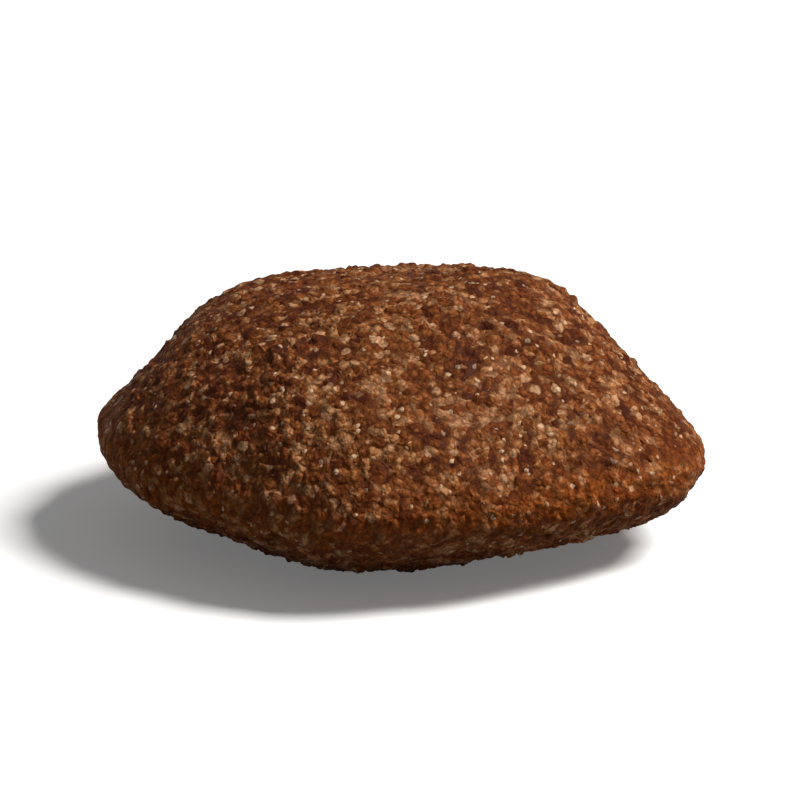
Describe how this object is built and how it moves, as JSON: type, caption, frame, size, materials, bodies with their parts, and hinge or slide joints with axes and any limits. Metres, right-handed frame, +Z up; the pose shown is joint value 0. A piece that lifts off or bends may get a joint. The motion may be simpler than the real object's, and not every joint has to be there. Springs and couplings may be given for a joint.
{
  "type": "pet food kibble",
  "caption": "Piece of dry pet food: a small baked pillow, domed on both faces, with a rounded-square outline, a blunt rim and a grainy brown crust, lying on its flattened belly.",
  "frame": {"origin": "on the floor, under the middle of the kibble's bounding box", "axes": "+X along the longer diagonal, towards the corner with the thick lip; +Y away from the viewer; +Z up, out of the higher dome"},
  "size_m": [0.0154, 0.0144, 0.0066],
  "materials": {
    "crust": "matte"
  },
  "bodies": {
    "root": {"kibble": "crust"}
  },
  "joints": []
}
